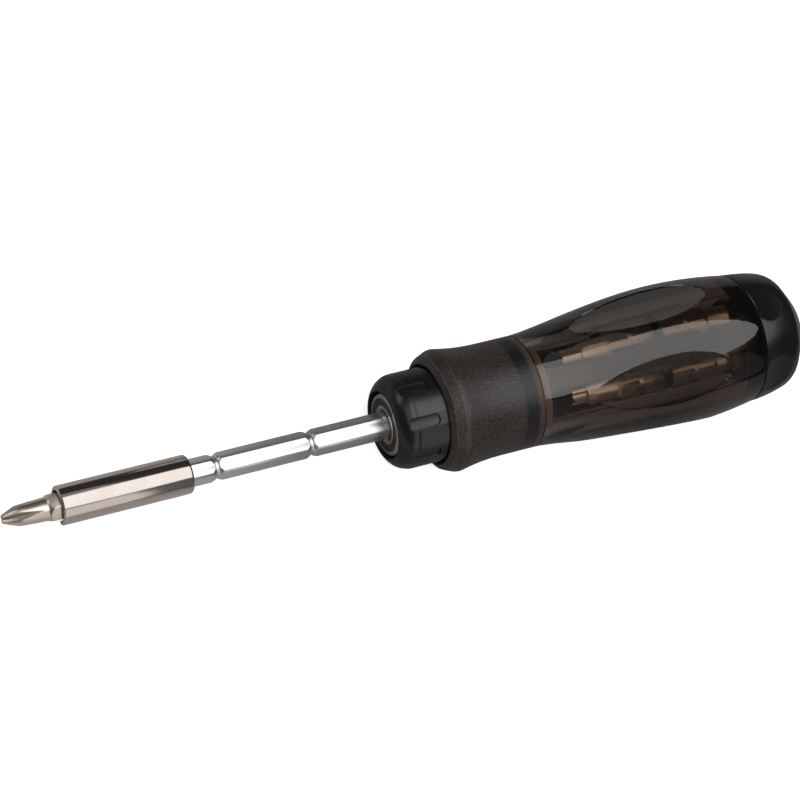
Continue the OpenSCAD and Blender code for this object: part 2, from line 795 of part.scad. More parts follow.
// Collar: bevelled mouth, crest, then a slow curve down to the waist
function collar_points() = concat([[lip_edge_r, collar_from],
    [lip_shoulder[0], collar_from + lip_shoulder[1]], [lip_crest[0], collar_from + lip_crest[1]],
    [collar_r, crest_at]],
    [for (i = [1:collar_steps]) let (t = i / collar_steps)
        [waist_r + (collar_r - waist_r) * pow(1 - t, 2), crest_at + (waist_from - crest_at) * t]],
    [[waist_r, barrel_from]]);

module handle_collar() {
    color(frost) along() turned(concat(collar_points(), [[cover_flange_r + seat, barrel_from],
        [cover_flange_r + seat, cover_flange_from - seat], [housing_r + seat, cover_flange_from - seat],
        [housing_r + seat, flange_to + loose], [flange_r + loose, flange_to + loose],
        [flange_r + loose, collar_from + lip_len], [lip_r, collar_from + lip_len], [lip_r, collar_from]]));
}

// Barrel: a curve from the waist out to the belly, then a parabola in to the cap's seam
function curve(a, b, c, d, t) = a * pow(1 - t, 3) + 3 * b * t * pow(1 - t, 2) + 3 * c * t * t * (1 - t) + d * pow(t, 3);
function belly_curve() = [for (i = [0:barrel_steps]) let (t = i / barrel_steps)
    [curve(waist_r, waist_r, belly_r, belly_r, t),
        curve(barrel_from, barrel_from + waist_pull, belly_at - belly_pull, belly_at, t)]];
function tail_curve() = [for (i = [1:tail_steps]) let (t = i / tail_steps)
    [belly_r - (belly_r - seam_r) * t * t, belly_at + (cap_from - belly_at) * t]];

// A flute is hollowed by a wide ring whose outermost line is an arc through both tips of the flute
flute_mid = (flute_from + flute_to) / 2;
flute_half = (flute_to - flute_from) / 2;
flute_tip_r = 17.37;
flute_lean = 3.5;
flute_phase = -1.2;
flute_surface_r = 18.5;
flute_floor_r = flute_surface_r - flute_depth;
flute_sag = flute_tip_r - flute_floor_r;
flute_bow_r = (flute_half * flute_half + flute_sag * flute_sag) / 2 / flute_sag;
flute_sweep = 2 * atan(flute_half / flute_bow_r);

module flute_cut() {
    translate([flute_floor_r, 0, flute_mid]) rotate([0, flute_lean, 0])
        translate([flute_bow_r, 0, 0]) rotate([90, 0, 0]) rotate(180 - flute_sweep)
            rotate_extrude(angle = 2 * flute_sweep, $fn = 4 * fine)
                translate([flute_bow_r - flute_hollow_r, 0]) circle(r = flute_hollow_r, $fn = fine);
}

module handle_barrel() {
    color(smoke) along() difference() {
        turned(concat(belly_curve(), tail_curve(), [[barrel_bore_r, cap_from], [barrel_bore_r, barrel_from]]));
        for (i = [0:flute_count - 1]) rotate(360 / flute_count * i + flute_phase) flute_cut();
    }
}

// Carrier: guard disc, winged core along the tips and a block that grips the hex ends of both rows
front_hex_at = front_tip_at + bit_len - bit_hex_len - neck_gap;
rear_hex_to = row_middle + row_gap / 2 + bit_hex_len + neck_gap;
module bit_slot(from, to) {
    h = hex_af / 2 + bit_slot_gap;
    c = h / cos(30);
    translate([bit_circle_r, 0, from]) linear_extrude(to - from)
        polygon([[-h, -c / 2], [0, -c], [block_r, -c], [block_r, c], [0, c], [-h, c / 2]]);
}

module neck_slot(from, to) {
    translate([bit_circle_r, 0, from]) cylinder(r = bit_neck_r + neck_gap, h = to - from, $fn = small);
}

module bit_carrier() {
    color(dark_plastic) along() difference() {
        union() {
            disc(core_r, carrier_from, cap_from);
            disc(block_r, block_from, block_to);
            disc(cap_socket_r - seat, cap_from, cap_from + cap_socket_len - seat);
        }
        disc(carrier_bore_r, carrier_from - overrun, cap_from);
        for (i = [0:flute_count - 1]) rotate(bit_phase + 360 / flute_count * i) {
            neck_slot(front_tip_at - neck_gap, front_hex_at);
            bit_slot(front_hex_at, front_tip_at + bit_len + bit_slot_gap);
            bit_slot(row_middle + row_gap / 2 - bit_slot_gap, rear_hex_to);
            neck_slot(rear_hex_to, cap_from + overrun);
        }
    }
}

// A bit in the carrier: row 0 points forward, row 1 points back
module stored(row, place) {
    color(bronze_tint) along() rotate(bit_phase + 360 / flute_count * place) translate([bit_circle_r, 0, 0]) {
        if (row == 0) translate([0, 0, row_middle - row_gap / 2]) mirror([0, 0, 1]) rotate(30) children();
        else translate([0, 0, row_middle + row_gap / 2]) rotate(30) children();
    }
}

star_large_r = 2.2;
star_small_r = 1.65;
key_r = 2.2;
key_small_r = 1.7;
square_r = 2.1;
small_share = 0.8;
blade_w = 5.4;
blade_small_w = 4.2;

module front_bit_1() { stored(0, 0) slot_bit(blade_w); }
module front_bit_2() { stored(0, 1) key_bit(square_r, 4); }
module front_bit_3() { stored(0, 2) key_bit(key_r, 6); }
module front_bit_4() { stored(0, 3) star_bit(star_large_r); }
module front_bit_5() { stored(0, 4) cross_bit(); }
module rear_bit_1() { stored(1, 0) slot_bit(blade_small_w); }
module rear_bit_2() { stored(1, 1) key_bit(key_small_r, 6); }
module rear_bit_3() { stored(1, 2) star_bit(star_small_r); }
module rear_bit_4() { stored(1, 3) slot_bit(blade_w); }
module rear_bit_5() { stored(1, 4) cross_bit(small_share); }

// Cap: domed shell with five thumb dimples, a plug that seals in the barrel and a socket for the carrier
function bow(a, b, c, t) = pow(1 - t, 2) * a + 2 * t * (1 - t) * b + t * t * c;
function cap_points() = concat(
    [for (i = [1:cap_steps]) [0, cap_from] + bow([seam_r, cap_seam_gap + cap_edge], cap_side, cap_shoulder, i / cap_steps)],
    [for (i = [1:cap_steps]) [0, cap_from] + bow(cap_shoulder, cap_turn, cap_slope, i / cap_steps)],
    [for (i = [1:cap_steps]) [0, cap_from] + bow(cap_slope, cap_rim, [cap_end_r, cap_len], i / cap_steps)]);

module end_cap() {
    color(dark_plastic) along() difference() {
        turned(concat([[plug_in_r, plug_from], [plug_r, plug_from], [plug_r, ring_groove_at],
            [ring_groove_r, ring_groove_at], [ring_groove_r, ring_groove_at + ring_groove_w],
            [plug_r, ring_groove_at + ring_groove_w], [plug_r, cap_from + cap_seam_gap],
            [seam_r - cap_edge, cap_from + cap_seam_gap], [seam_r, cap_from + cap_seam_gap + cap_edge]],
            cap_points(), [[0, cap_from + cap_len], [0, cap_from + cap_socket_len],
            [cap_socket_r, cap_from + cap_socket_len], [cap_socket_r, cap_from + seat],
            [plug_in_r, cap_from + seat]]));
        for (i = [0:flute_count - 1]) rotate(dimple_phase + 360 / flute_count * i)
            translate([dimple_surface_r - dimple_depth + dimple_r, 0, cap_from + dimple_at])
                sphere(r = dimple_r, $fn = fine);
    }
}

module cap_seal_ring() {
    color(rubber_black) along(ring_groove_at + ring_groove_w / 2) rotate_extrude($fn = fine)
        translate([ring_groove_r + ring_section_r + seat, 0]) circle(r = ring_section_r, $fn = small);
}

driver_bit();
bit_sleeve();
bit_magnet();
bit_clip();
drive_shaft();
shaft_stop_ring();
bearing_outer_ring();
bearing_inner_ring();
bearing_balls();
bearing_cage();
bearing_front_seal();
bearing_rear_seal();
selector_ring();
selector_cam();
selector_detent_spring();
ratchet_housing();
housing_cover();
spindle();
ratchet_gear();
pawl_a();
pawl_b();
pawl_pins();
pawl_spring_a();
pawl_spring_b();
spindle_bush();
thrust_washer();
spindle_circlip();
shaft_detent_ring();
handle_collar();
handle_barrel();
bit_carrier();
end_cap();
cap_seal_ring();
front_bit_1();
front_bit_2();
front_bit_3();
front_bit_4();
front_bit_5();
rear_bit_1();
rear_bit_2();
rear_bit_3();
rear_bit_4();
rear_bit_5();
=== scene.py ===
import math

import bmesh
import bpy
from mathutils import Matrix, Vector


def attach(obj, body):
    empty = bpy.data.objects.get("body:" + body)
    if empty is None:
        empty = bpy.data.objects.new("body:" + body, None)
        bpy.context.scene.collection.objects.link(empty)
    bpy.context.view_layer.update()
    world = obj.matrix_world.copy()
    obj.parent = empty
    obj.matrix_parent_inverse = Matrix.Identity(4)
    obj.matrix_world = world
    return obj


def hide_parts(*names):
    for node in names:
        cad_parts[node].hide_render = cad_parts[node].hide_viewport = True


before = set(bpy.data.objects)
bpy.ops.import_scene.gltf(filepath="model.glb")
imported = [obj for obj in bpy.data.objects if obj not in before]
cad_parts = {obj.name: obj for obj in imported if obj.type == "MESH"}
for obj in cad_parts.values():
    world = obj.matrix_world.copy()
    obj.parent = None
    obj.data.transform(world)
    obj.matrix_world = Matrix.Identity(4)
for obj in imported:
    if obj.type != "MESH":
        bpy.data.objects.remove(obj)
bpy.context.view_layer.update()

# The tool lies along X, with the bit's point at 0. Lengths are given in millimetres, and places
# along the tool are counted from the nose of the handle. Turns go round the axis from straight
# down.
MM = 0.001
NOSE = 101.1            # the nose of the handle, from the bit's point
FLUTES = [math.radians(72 * k - 1.2) for k in range(5)]
DIMPLES = [math.radians(22 + 72 * k) for k in range(5)]
RECESSES = [math.radians(21 + 45 * k) for k in range(8)]

WAIST_RADIUS = 14.7     # where the collar meets the barrel
BELLY = 81.0            # the thickest place of the barrel
BELLY_RADIUS = 19.04

FLUTE_FRONT = 50.5      # a finger flute's two ends
FLUTE_REAR = 91.5
FLUTE_BEYOND = 3.5      # its hollow is looked for this far beyond them
SLID_BEYOND = 6.5       # the lathe's rounds are slid round this far beyond them
FLUTE_WALL = 0.24       # height of the small wall round a flute
FLUTE_HOLLOW = 300.0    # how round a flute is across the handle
EDGE_STEP = 20          # the degree of the lathe's rounds that is moved onto a flute's edge
HALF_PITCH = 36         # degrees from a flute's middle to the middle of the land beside it

DIMPLE_MIDDLE = 108.7   # a thumb dimple of the cap: a scoop that is flat across and round along
DIMPLE_FLOOR = 15.8
DIMPLE_ROUND = 20.0

RECESS_LENGTH = 8.4     # a grip recess of the selector ring, at its mouth
RECESS_WIDTH = 3.2
RECESS_DEPTH = 0.65
RECESS_MIDDLE = 6.1
SELECTOR_RADIUS = 12.3


# ---------------------------------------------------------------- modelling by hand

def put_down():
    """Leaves edit mode with nothing selected."""
    if bpy.context.object and bpy.context.object.mode != "OBJECT":
        bpy.ops.object.mode_set(mode="OBJECT")
    bpy.ops.object.select_all(action="DESELECT")


def take(piece):
    """Selects one piece and nothing else."""
    put_down()
    piece.select_set(True)
    bpy.context.view_layer.objects.active = piece


def open_up():
    """Goes into edit mode with all of the piece selected."""
    bpy.ops.object.mode_set(mode="EDIT")
    bpy.ops.mesh.select_all(action="SELECT")


def place(a, r, turn=0.0):
    """A point of the tool: a along it from the nose, r from its axis, turned from straight down."""
    return Vector(((NOSE + a) * MM, r * math.sin(turn) * MM, -r * math.cos(turn) * MM))


def along_and_out(point):
    """How far along the tool a point lies, from the nose, and how far from its axis."""
    return point.x / MM - NOSE, math.hypot(point.y, point.z) / MM


def turned(name, outline, steps):
    """A lathe-turned piece from its outline of (a, r) points. The outline is closed."""
    put_down()
    bpy.ops.mesh.primitive_plane_add(size=MM)
    piece = bpy.context.object
    piece.name = piece.data.name = name
    open_up()
    bpy.ops.mesh.merge(type="CENTER")
    here = place(*outline[0])
    bpy.ops.transform.translate(value=here)
    for a, r in list(outline[1:]) + [outline[0]]:
        there = place(a, r)
        bpy.ops.mesh.extrude_region_move(TRANSFORM_OT_translate={"value": there - here})
        here = there
    bpy.ops.mesh.select_all(action="SELECT")
    bpy.ops.mesh.remove_doubles(threshold=1e-7)
    bpy.ops.mesh.select_all(action="SELECT")
    bpy.ops.mesh.spin(steps=steps, angle=2 * math.pi, center=(0, 0, 0), axis=(1, 0, 0))
    bpy.ops.mesh.select_all(action="SELECT")
    bpy.ops.mesh.remove_doubles(threshold=1e-6)
    bpy.ops.mesh.normals_make_consistent(inside=False)
    put_down()
    return piece


def copied(name, node):
    """A copy of a simple inner or standard piece, its loose triangles merged into whole faces."""
    piece = bpy.data.objects.new(name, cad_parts[node].data.copy())
    bpy.context.scene.collection.objects.link(piece)
    piece.data.materials.clear()
    take(piece)
    open_up()
    bpy.ops.mesh.remove_doubles(threshold=2e-6)
    bpy.ops.mesh.dissolve_limited(angle_limit=math.radians(0.4))
    bpy.ops.mesh.normals_make_consistent(inside=False)
    put_down()
    return piece


def bevelled(piece, width, angle):
    """Rounds the edges that are sharper than the angle, in degrees."""
    bevel = piece.modifiers.new("edge", "BEVEL")
    bevel.width = width * MM
    bevel.segments = 2
    bevel.limit_method = "ANGLE"
    bevel.angle_limit = math.radians(angle)
    take(piece)
    bpy.ops.object.modifier_apply(modifier=bevel.name)
    put_down()


def cut(piece, cutter):
    """Cuts the cutter's shape out of the piece and throws the cutter away."""
    boolean = piece.modifiers.new("cut", "BOOLEAN")
    boolean.operation = "DIFFERENCE"
    boolean.solver = "EXACT"
    boolean.object = cutter
    take(piece)
    bpy.ops.object.modifier_apply(modifier=boolean.name)
    put_down()
    bpy.data.objects.remove(cutter)


def finished(piece, material, body, nodes, angle=30):
    """Smooths a piece up to the angle and gives it its finish, body and the nodes it stands for."""
    take(piece)
    bpy.ops.object.shade_smooth_by_angle(angle=math.radians(angle))
    put_down()
    piece.data.materials.clear()
    piece.data.materials.append(material)
    if nodes:
        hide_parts(*nodes)
    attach(piece, body)


# ---------------------------------------------------------------- outlines

def bezier(p, q, s, t, n):
    """Points of the curve from p to t, n steps long, that leaves towards q and arrives from s."""
    out = []
    for i in range(n + 1):
        u = i / n
        w = ((1 - u) ** 3, 3 * u * (1 - u) ** 2, 3 * u * u * (1 - u), u ** 3)
        out.append(tuple(sum(wk * pk[j] for wk, pk in zip(w, (p, q, s, t))) for j in (0, 1)))
    return out


def bow(p, q, s, n):
    """Points after p of the curve from p to s, n steps long, that leans towards q."""
    steps = [i / n for i in range(1, n + 1)]
    return [tuple(p[j] * (1 - t) ** 2 + 2 * q[j] * t * (1 - t) + s[j] * t * t for j in (0, 1))
            for t in steps]


def barrel_line():
    """Outer line of the barrel: out from the waist to the belly, then in to the cap's seam."""
    front = bezier((38.3, WAIST_RADIUS), (46.0, WAIST_RADIUS), (64.3, BELLY_RADIUS),
                   (BELLY, BELLY_RADIUS), 84)
    to_seam, fall, steps = 21.4, 1.79, 44
    rear = [(BELLY + to_seam * t / steps, BELLY_RADIUS - fall * (t / steps) ** 2)
            for t in range(1, steps + 1)]
    return front + rear


def turn_off(middle, turn):
    """How far a direction is turned from a middle one, the short way round."""
    return (turn - middle + math.pi) % (2 * math.pi) - math.pi


def flute_floor(a):
    """Radius of a flute's middle line: it rises to the rear and sags a little between its ends."""
    start, rise, sag = 16.12, 2.5, 0.1
    t = (a - FLUTE_FRONT) / (FLUTE_REAR - FLUTE_FRONT)
    return start + rise * t - 4 * sag * t * (1 - t)


def flute_edge(a, r):
    """Half the turn that a flute takes up where the barrel's outer radius is r."""
    centre = flute_floor(a) + FLUTE_HOLLOW
    reach = (r * r + centre * centre - FLUTE_HOLLOW ** 2) / (2 * r * centre)
    return math.acos(reach) if reach < 1 else 0.0


def flute_radius(a, turn):
    """Radius of the nearest flute's hollow along this direction, or None outside it."""
    if not FLUTE_FRONT - FLUTE_BEYOND < a < FLUTE_REAR + FLUTE_BEYOND:
        return None
    off = min((turn_off(f, turn) for f in FLUTES), key=abs)
    centre = flute_floor(a) + FLUTE_HOLLOW
    inside = FLUTE_HOLLOW ** 2 - (centre * math.sin(off)) ** 2
    return centre * math.cos(off) - math.sqrt(inside) if inside > 0 else None


def edge_aligned(a, r, off):
    """Slides a direction, in degrees from a flute's middle, so that one step of the lathe lies on
    the flute's edge. Beyond a flute's ends the slide fades, so that the rounds stay even."""
    least, spread, widest_lip = 0.8, 4, 0.45
    beyond = max(FLUTE_FRONT - a, a - FLUTE_REAR, 0.0)
    edge = max(math.degrees(flute_edge(a, r)), min(least + spread * beyond, EDGE_STEP))
    lip = min(widest_lip, edge / 2)
    if off < EDGE_STEP - 0.5:
        return (edge - lip) * off / (EDGE_STEP - 1)
    if off < EDGE_STEP + 0.5:
        return edge
    next_step = EDGE_STEP + 1
    return edge + lip + (HALF_PITCH - edge - lip) * (off - next_step) / (HALF_PITCH - next_step)


def soft_least(x, y, blend):
    """The smaller of two lengths, with the change between them rounded over."""
    h = max(blend - abs(x - y), 0.0) / blend
    return min(x, y) - h * h * blend / 4


# ---------------------------------------------------------------- shader parts

# A Mix node of colours has its factor at input 0, the colours at 6 and 7, the result at output 2.
MIX_FACTOR, MIX_UNDER, MIX_OVER, MIX_RESULT = 0, 6, 7, 2


def feed(tree, socket, value):
    """Gives a socket another node's output, a plain number or a plain colour."""
    if isinstance(value, bpy.types.NodeSocket):
        tree.links.new(value, socket)
    elif isinstance(value, tuple):
        socket.default_value = (*value, 1)
    else:
        socket.default_value = value


def place_on_piece(tree):
    """The place of a point on the piece itself."""
    return tree.nodes.new("ShaderNodeTexCoord").outputs["Object"]


def noise(tree, where, scale, detail):
    node = tree.nodes.new("ShaderNodeTexNoise")
    feed(tree, node.inputs["Vector"], where)
    feed(tree, node.inputs["Scale"], scale)
    node.inputs["Detail"].default_value = detail
    return node.outputs["Fac"]


def worked(tree, operation, *values):
    """The outcome of a sum on values that change over the surface."""
    node = tree.nodes.new("ShaderNodeMath")
    node.operation = operation
    for socket, value in zip(node.inputs, values):
        feed(tree, socket, value)
    return node.outputs["Value"]


def mapped(tree, source, low, high, start=0.0, stop=1.0):
    """Runs from low to high while the source goes from start to stop."""
    node = tree.nodes.new("ShaderNodeMapRange")
    node.inputs["From Min"].default_value = start
    node.inputs["From Max"].default_value = stop
    node.inputs["To Min"].default_value = low
    node.inputs["To Max"].default_value = high
    tree.links.new(source, node.inputs["Value"])
    return node.outputs["Result"]


def mixed(tree, mask, under, over):
    """Goes from one colour to another as the mask fills."""
    node = tree.nodes.new("ShaderNodeMix")
    node.data_type = "RGBA"
    feed(tree, node.inputs[MIX_FACTOR], mask)
    feed(tree, node.inputs[MIX_UNDER], under)
    feed(tree, node.inputs[MIX_OVER], over)
    return node.outputs[MIX_RESULT]


def group(name, inputs, outputs):
    """An empty shader group with its named inputs, each with a first value, and named outputs."""
    tree = bpy.data.node_groups.new(name, "ShaderNodeTree")
    for label, value in inputs.items():
        tree.interface.new_socket(name=label, in_out="INPUT",
                                  socket_type="NodeSocketFloat").default_value = value
    for label in outputs:
        tree.interface.new_socket(name=label, in_out="OUTPUT", socket_type="NodeSocketFloat")
    given, out = tree.nodes.new("NodeGroupInput"), tree.nodes.new("NodeGroupOutput")
    return tree, given.outputs, out.inputs


def moulded_grain():
    """Fine pebbled skin of moulded plastic, with bright specks and a slow drift in its wear."""
    tree, given, out = group("moulded_grain", {"Size": 900.0, "Wear": 0.1},
                             ("Height", "Patches", "Specks"))
    where = place_on_piece(tree)
    pebbles = tree.nodes.new("ShaderNodeTexVoronoi")
    pebbles.feature = "SMOOTH_F1"
    pebbles.inputs["Smoothness"].default_value = 0.6
    tree.links.new(where, pebbles.inputs["Vector"])
    tree.links.new(given["Size"], pebbles.inputs["Scale"])
    fine = noise(tree, where, worked(tree, "MULTIPLY", given["Size"], 2.3), 3)
    drift = noise(tree, where, 70, 4)
    tree.links.new(worked(tree, "ADD", pebbles.outputs["Distance"], fine), out["Height"])
    tree.links.new(worked(tree, "MULTIPLY", drift, given["Wear"]), out["Patches"])
    tree.links.new(mapped(tree, fine, 0.0, 1.0, 0.52, 0.76), out["Specks"])
    return tree


def turned_grain():
    """Fine lines left round a piece by the lathe, or along it by the drawing of the bar, plus
    faint blotches."""
    tree, given, out = group("turned_grain", {"Along": 9000.0, "Across": 300.0},
                             ("Lines", "Blotches"))
    where = place_on_piece(tree)
    stretch = tree.nodes.new("ShaderNodeCombineXYZ")
    for axis, label in (("X", "Along"), ("Y", "Across"), ("Z", "Across")):
        tree.links.new(given[label], stretch.inputs[axis])
    scaled = tree.nodes.new("ShaderNodeVectorMath")
    scaled.operation = "MULTIPLY"
    tree.links.new(where, scaled.inputs[0])
    tree.links.new(stretch.outputs[0], scaled.inputs[1])
    tree.links.new(noise(tree, scaled.outputs[0], 1, 4), out["Lines"])
    tree.links.new(noise(tree, where, 220, 3), out["Blotches"])
    return tree


GRAIN = moulded_grain()
LINES = turned_grain()


# ---------------------------------------------------------------- materials

def shader(name):
    mat = bpy.data.materials.new(name)
    mat.use_nodes = True
    return mat, mat.node_tree, mat.node_tree.nodes["Principled BSDF"]


def placed(tree, shared, **values):
    """A shared group placed in a material with its own values."""
    node = tree.nodes.new("ShaderNodeGroup")
    node.node_tree = shared
    for key, value in values.items():
        node.inputs[key].default_value = value
    return node.outputs


def roughened(tree, bsdf, source, rough):
    """Roughness between two values, over the middle of a noise, where most of it lies."""
    noise_middle = (0.3, 0.7)
    tree.links.new(mapped(tree, source, *rough, *noise_middle), bsdf.inputs["Roughness"])


def raised(tree, bsdf, source, strength, depth):
    """Fine relief of the surface."""
    node = tree.nodes.new("ShaderNodeBump")
    node.inputs["Strength"].default_value = strength
    node.inputs["Distance"].default_value = depth * MM
    tree.links.new(source, node.inputs["Height"])
    tree.links.new(node.outputs["Normal"], bsdf.inputs["Normal"])


def seen_by_camera(tree, others, camera_only):
    """Shows one shader to the camera's own rays and another to all the rest."""
    rays = tree.nodes.new("ShaderNodeLightPath")
    either = tree.nodes.new("ShaderNodeMixShader")
    tree.links.new(rays.outputs["Is Camera Ray"], either.inputs[0])
    tree.links.new(others.outputs[0], either.inputs[1])
    tree.links.new(camera_only.outputs[0], either.inputs[2])
    return either.outputs[0]


def moulded(name, dark, light, rough, grain, relief, gloss=0.5, sparkle=None):
    """Moulded plastic or rubber with a pebbled skin."""
    mat, tree, bsdf = shader(name)
    bsdf.inputs["Specular IOR Level"].default_value = gloss
    skin = placed(tree, GRAIN, Size=grain, Wear=1.0)
    base = mixed(tree, skin["Patches"], dark, light)
    if sparkle:
        base = mixed(tree, skin["Specks"], base, sparkle)
    tree.links.new(base, bsdf.inputs["Base Color"])
    roughened(tree, bsdf, skin["Patches"], rough)
    raised(tree, bsdf, skin["Height"], relief, depth=0.02)
    return mat


def metal(name, dark, light, rough, along=9000.0, across=300.0, relief=0.1, depth=0.004):
    """Bare or plated metal with the fine lines of its making."""
    mat, tree, bsdf = shader(name)
    bsdf.inputs["Metallic"].default_value = 1.0
    lines = placed(tree, LINES, Along=along, Across=across)
    tree.links.new(mixed(tree, lines["Blotches"], dark, light), bsdf.inputs["Base Color"])
    roughened(tree, bsdf, lines["Lines"], rough)
    raised(tree, bsdf, lines["Lines"], relief, depth)
    return mat


def smoke_clear(name):
    """Polished smoke-tinted plastic: clear surface, brown tint that deepens with the wall's
    thickness. Light passes it with only a faint tint on the way to what is inside."""
    mat, tree, bsdf = shader(name)
    bsdf.inputs["Base Color"].default_value = (0.93, 0.91, 0.9, 1)
    bsdf.inputs["Transmission Weight"].default_value = 1.0
    bsdf.inputs["IOR"].default_value = 1.57
    skin = placed(tree, GRAIN, Size=500.0, Wear=1.0)
    roughened(tree, bsdf, skin["Patches"], (0.0, 0.006))
    through = tree.nodes.new("ShaderNodeBsdfTransparent")
    through.inputs["Color"].default_value = (0.9, 0.88, 0.86, 1)
    rays = tree.nodes.new("ShaderNodeLightPath")
    either = tree.nodes.new("ShaderNodeMixShader")
    tree.links.new(rays.outputs["Is Shadow Ray"], either.inputs[0])
    tree.links.new(bsdf.outputs[0], either.inputs[1])
    tree.links.new(through.outputs[0], either.inputs[2])
    output = tree.nodes["Material Output"]
    tree.links.new(either.outputs[0], output.inputs["Surface"])
    tint = tree.nodes.new("ShaderNodeVolumeAbsorption")
    tint.inputs["Color"].default_value = (0.31, 0.2, 0.09, 1)
    tint.inputs["Density"].default_value = 190
    tree.links.new(tint.outputs[0], output.inputs["Volume"])
    return mat


def band(tree, along, middle, half, soft):
    """A ring-shaped zone of a piece: full near its middle, gone beyond half its width."""
    off = worked(tree, "SUBTRACT", along, (NOSE + middle) * MM)
    away = worked(tree, "ABSOLUTE", off)
    return mapped(tree, away, 1.0, 0.0, (half - soft) * MM, half * MM)


def frosted(name):
    """Frosted smoke-tinted plastic: dark brown-grey and grainy, with fine bright specks, painted
    highlight lines on the bevel's two edges, painted shade as a dark ring where the housing
    backs the wall, and a browner rear rim."""
    mat, tree, bsdf = shader(name)
    skin = placed(tree, GRAIN, Size=1500.0, Wear=1.0)
    split = tree.nodes.new("ShaderNodeSeparateXYZ")
    tree.links.new(place_on_piece(tree), split.inputs[0])
    along = split.outputs["X"]
    # painted shade: a darker ring where the housing backs the frosted wall
    ring = band(tree, along, 34.8, 2.0, 0.5)
    # painted highlights: lighter lines on the bevel's two edges, where the light catches them
    edges = worked(tree, "MAXIMUM", band(tree, along, 13.42, 0.1, 0.06),
                   band(tree, along, 15.88, 0.1, 0.06))
    rear = mapped(tree, along, 0.0, 1.0, (NOSE + 36.8) * MM, (NOSE + 37.4) * MM)
    base = mixed(tree, skin["Patches"], (0.011, 0.0078, 0.0068), (0.027, 0.0205, 0.0185))
    base = mixed(tree, skin["Specks"], base, (0.11, 0.1, 0.092))
    base = mixed(tree, ring, base, (0.007, 0.0065, 0.0065))
    base = mixed(tree, rear, base, (0.05, 0.031, 0.022))
    base = mixed(tree, edges, base, (0.085, 0.068, 0.06))
    bsdf.inputs["Specular IOR Level"].default_value = 0.4
    tree.links.new(base, bsdf.inputs["Base Color"])
    roughened(tree, bsdf, skin["Patches"], (0.3, 0.4))
    raised(tree, bsdf, skin["Height"], 1.0, depth=0.06)
    return mat


sleeve_nickel = metal("sleeve_nickel", (0.41, 0.37, 0.34), (0.47, 0.43, 0.4), (0.08, 0.15),
                      along=14000.0, across=900.0, relief=0.25, depth=0.002)
bit_nickel = metal("bit_nickel", (0.52, 0.45, 0.39), (0.62, 0.55, 0.48), (0.28, 0.38),
                   along=3000.0, across=3000.0, relief=0.15)
stored_nickel = metal("stored_nickel", (0.62, 0.52, 0.43), (0.75, 0.65, 0.56), (0.26, 0.36),
                      along=3000.0, across=3000.0, relief=0.2)
shaft_chrome = metal("shaft_chrome", (0.55, 0.556, 0.566), (0.61, 0.616, 0.626), (0.3, 0.38),
                     along=400.0, across=9000.0, relief=0.06)
ground_steel = metal("ground_steel", (0.46, 0.41, 0.375), (0.56, 0.51, 0.47), (0.3, 0.42))
bright_steel = metal("bright_steel", (0.6, 0.58, 0.55), (0.75, 0.73, 0.7), (0.15, 0.3))
tool_steel = metal("tool_steel", (0.32, 0.31, 0.3), (0.45, 0.44, 0.43), (0.3, 0.45), relief=0.2)
cage_brass = metal("cage_brass", (0.6, 0.42, 0.2), (0.75, 0.55, 0.3), (0.25, 0.4))
bush_bronze = metal("bush_bronze", (0.4, 0.24, 0.13), (0.52, 0.33, 0.19), (0.4, 0.6),
                    along=2500.0, across=2500.0, relief=0.4)
selector_black = moulded("selector_black", (0.006, 0.006, 0.0063), (0.012, 0.012, 0.0125),
                         (0.25, 0.33), grain=2400.0, relief=0.3, gloss=0.42)
cap_black = moulded("cap_black", (0.003, 0.003, 0.0032), (0.007, 0.007, 0.0074), (0.21, 0.29),
                    grain=1500.0, relief=0.6, gloss=0.46, sparkle=(0.022, 0.021, 0.021))
carrier_black = moulded("carrier_black", (0.006, 0.0055, 0.005), (0.009, 0.008, 0.0075),
                        (0.22, 0.3), grain=300.0, relief=0.01, gloss=0.3)
cover_brown = moulded("cover_brown", (0.16, 0.11, 0.085), (0.24, 0.17, 0.13), (0.5, 0.6),
                      grain=900.0, relief=0.05, gloss=0.3)
seal_rubber = moulded("seal_rubber", (0.03, 0.028, 0.027), (0.048, 0.045, 0.043), (0.5, 0.65),
                      grain=2000.0, relief=0.3)
plug_rubber = moulded("plug_rubber", (0.006, 0.006, 0.006), (0.01, 0.01, 0.01), (0.5, 0.65),
                      grain=2000.0, relief=0.1)
mark_grey = metal("mark_grey", (0.05, 0.04, 0.034), (0.09, 0.075, 0.065), (0.4, 0.55),
                  along=3000.0, across=3000.0)
collar_frost = frosted("collar_frost")
barrel_smoke = smoke_clear("barrel_smoke")


# ---------------------------------------------------------------- camera, floor and light

def camera():
    """The photograph's camera: a long lens well above the tool, towards its bit and near side."""
    data = bpy.data.cameras.new("camera")
    data.lens = 126
    data.sensor_width = 36
    data.clip_start = 0.01
    data.clip_end = 20
    view = bpy.data.objects.new("camera", data)
    right = Vector((0.900118, -0.315988, 0.299898))
    up = Vector((0.22018, 0.92398, 0.312701))
    back = Vector((-0.375909, -0.215437, 0.901265))
    turn = Matrix((right, up, back)).transposed().to_4x4()
    stand = Vector((-159.340, -147.495, 639.414)) * MM
    view.matrix_world = Matrix.Translation(stand) @ turn
    bpy.context.scene.collection.objects.link(view)
    bpy.context.scene.camera = view


